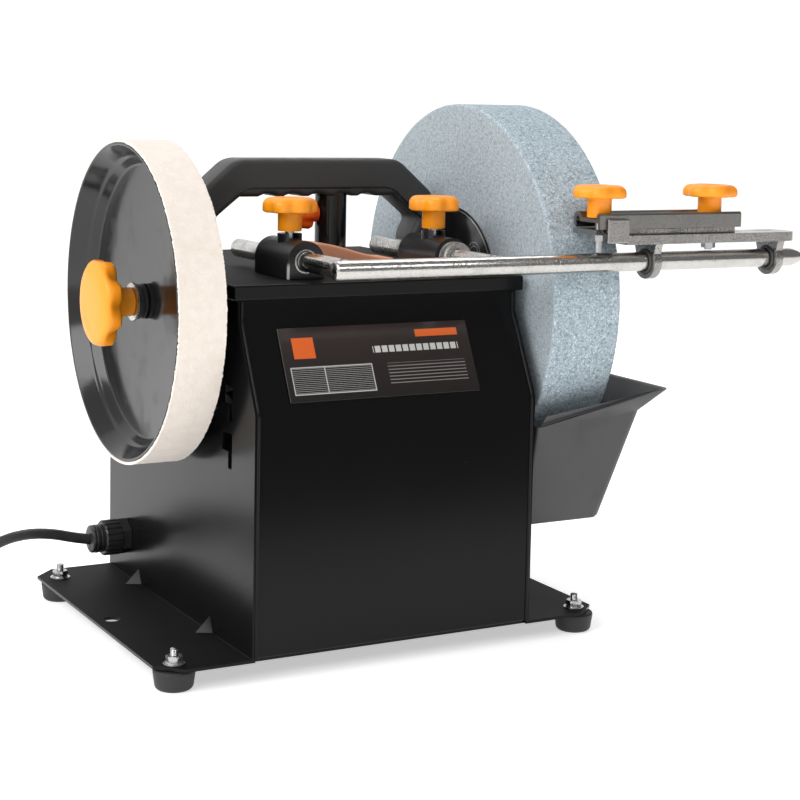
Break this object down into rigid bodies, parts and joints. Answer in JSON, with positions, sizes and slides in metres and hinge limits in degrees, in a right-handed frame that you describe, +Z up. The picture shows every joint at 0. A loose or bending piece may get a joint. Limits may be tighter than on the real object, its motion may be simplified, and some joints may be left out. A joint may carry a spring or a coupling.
{
  "type": "wet grinding sharpener",
  "caption": "Wet grinding sharpener with a water-cooled stone, leather stropping wheel, tool support bar, straight-edge jig and carrying handle.",
  "frame": {"origin": "on the surface the feet stand on, under the middle of the machine's box, the mains lead left out", "axes": "+X along the shaft towards the grinding stone, +Y to the back, +Z up"},
  "size_m": [0.601, 0.3651, 0.3369],
  "materials": {
    "black_paint": "gloss",
    "cast_black": "satin",
    "chrome": "polished",
    "steel": "satin",
    "aluminium": "satin",
    "orange_plastic": "gloss",
    "dark_plastic": "satin",
    "black_plastic": "gloss",
    "grey_plastic": "satin",
    "stone": "matte",
    "leather": "matte",
    "rubber": "matte",
    "label": "satin",
    "salmon_plastic": "satin"
  },
  "bodies": {
    "machine_body": {"side_panel_left": "black_paint", "side_panel_right": "black_paint", "front_panel": "black_paint", "rear_panel": "black_paint", "bottom_plate": "black_paint", "top_cover": "black_paint", "rating_label": "label", "carry_handle": "dark_plastic", "handle_post": "black_plastic", "cover_pad": "salmon_plastic", "rubber_foot_1": "rubber", "rubber_foot_2": "rubber", "rubber_foot_3": "rubber", "rubber_foot_4": "rubber", "shaft_bush_left": "dark_plastic", "shaft_bush_right": "dark_plastic", "pivot_pin": "steel", "tension_spring": "steel", "capacitor": "aluminium", "terminal_block": "label", "switch_body": "dark_plastic", "left_bracket": "cast_black", "right_bracket": "cast_black", "cable_gland": "dark_plastic", "gland_nut": "dark_plastic", "mains_cord": "rubber", "cord_coil": "rubber", "mains_plug": "dark_plastic"},
    "spindle": {"main_shaft": "steel", "grinding_stone": "stone", "stone_blotter": "black_plastic", "stone_flange_inner": "steel", "stone_flange_outer": "steel", "strop_wheel": "black_plastic", "strop_leather": "leather", "drive_tyre": "rubber", "strop_collar": "dark_plastic", "strop_washer": "chrome"},
    "strop_knob": {"strop_knob": "orange_plastic"},
    "stone_nut": {"stone_nut": "steel"},
    "motor": {"motor_body": "cast_black", "motor_cradle": "steel"},
    "rotor": {"motor_shaft": "steel", "motor_fan": "dark_plastic"},
    "rocker": {"switch_rocker": "black_plastic"},
    "post_knob": {"post_knob": "orange_plastic"},
    "left_clamp_knob": {"left_clamp_knob": "orange_plastic"},
    "right_clamp_knob": {"right_clamp_knob": "orange_plastic"},
    "support": {"support_bar": "chrome"},
    "adjust_nut": {"adjust_nut": "chrome"},
    "jig_sleeves": {"eye_sleeve_1": "dark_plastic", "eye_sleeve_2": "dark_plastic"},
    "jig_frame": {"jig_base": "chrome", "jig_stud_1": "steel", "jig_stud_2": "steel", "jig_stop_plate": "chrome"},
    "upper_jaw": {"jig_upper_jaw": "aluminium"},
    "jig_knob_1": {"jig_knob_1": "orange_plastic"},
    "jig_knob_2": {"jig_knob_2": "orange_plastic"},
    "trough": {"water_trough": "grey_plastic"}
  },
  "joints": [
    {"name": "spindle_spin", "type": "hinge", "parent": "machine_body", "child": "spindle", "pos_m": [-0.06825, 0.0063, 0.2119], "axis": [1, 0, 0], "continuous": true},
    {"name": "strop_knob_turn", "type": "hinge", "parent": "spindle", "child": "strop_knob", "pos_m": [-0.2, 0.0063, 0.2119], "axis": [1, 0, 0], "range_deg": [0, 1080]},
    {"name": "stone_nut_turn", "type": "hinge", "parent": "spindle", "child": "stone_nut", "pos_m": [0.095, 0.0063, 0.2119], "axis": [1, 0, 0], "range_deg": [0, 1080]},
    {"name": "motor_swing", "type": "hinge", "parent": "machine_body", "child": "motor", "pos_m": [-0.07225, 0.0943, 0.1445], "axis": [1, 0, 0], "range_deg": [-3, 0], "deforming": ["tension_spring"]},
    {"name": "rotor_spin", "type": "hinge", "parent": "motor", "child": "rotor", "pos_m": [-0.07225, 0.0063, 0.1302], "axis": [1, 0, 0], "continuous": true},
    {"name": "rocker_switch", "type": "hinge", "parent": "machine_body", "child": "rocker", "pos_m": [-0.02325, 0.1273, 0.1445], "axis": [0, 0, 1], "range_deg": [0, 10]},
    {"name": "post_knob_turn", "type": "hinge", "parent": "machine_body", "child": "post_knob", "pos_m": [-0.06, 0.0303, 0.2634], "axis": [1, 0, 0], "range_deg": [-360, 360]},
    {"name": "left_clamp_turn", "type": "hinge", "parent": "machine_body", "child": "left_clamp_knob", "pos_m": [-0.11225, -0.0467, 0.2645], "axis": [0, 0, 1], "range_deg": [-720, 0]},
    {"name": "right_clamp_turn", "type": "hinge", "parent": "machine_body", "child": "right_clamp_knob", "pos_m": [-0.01125, -0.0467, 0.2645], "axis": [0, 0, 1], "range_deg": [-720, 0]},
    {"name": "support_slide", "type": "slide", "parent": "machine_body", "child": "support", "axis": [0, 1, 0], "range_m": [-0.045, 0]},
    {"name": "adjust_nut_turn", "type": "hinge", "parent": "support", "child": "adjust_nut", "pos_m": [-0.01125, -0.0737, 0.2415], "axis": [0, 1, 0], "range_deg": [-720, 720]},
    {"name": "jig_slide", "type": "slide", "parent": "support", "child": "jig_sleeves", "axis": [1, 0, 0], "range_m": [-0.045, 0.018]},
    {"name": "jig_tilt", "type": "hinge", "parent": "jig_sleeves", "child": "jig_frame", "pos_m": [0.14, -0.1277, 0.2415], "axis": [1, 0, 0], "range_deg": [0, 75]},
    {"name": "upper_jaw_slide", "type": "slide", "parent": "jig_frame", "child": "upper_jaw", "axis": [0, 0, 1], "range_m": [0, 0.004]},
    {"name": "jig_knob_1_turn", "type": "hinge", "parent": "upper_jaw", "child": "jig_knob_1", "pos_m": [0.06025, -0.1277, 0.2845], "axis": [0, 0, 1], "range_deg": [-720, 0]},
    {"name": "jig_knob_2_turn", "type": "hinge", "parent": "upper_jaw", "child": "jig_knob_2", "pos_m": [0.14575, -0.1277, 0.2845], "axis": [0, 0, 1], "range_deg": [-720, 0]},
    {"name": "trough_lift", "type": "slide", "parent": "machine_body", "child": "trough", "axis": [0, 0, 1], "range_m": [0, 0.01]}
  ],
  "couplings": [
    {"joint": "rotor_spin", "follows": "spindle_spin", "ratio": 14.667}
  ]
}
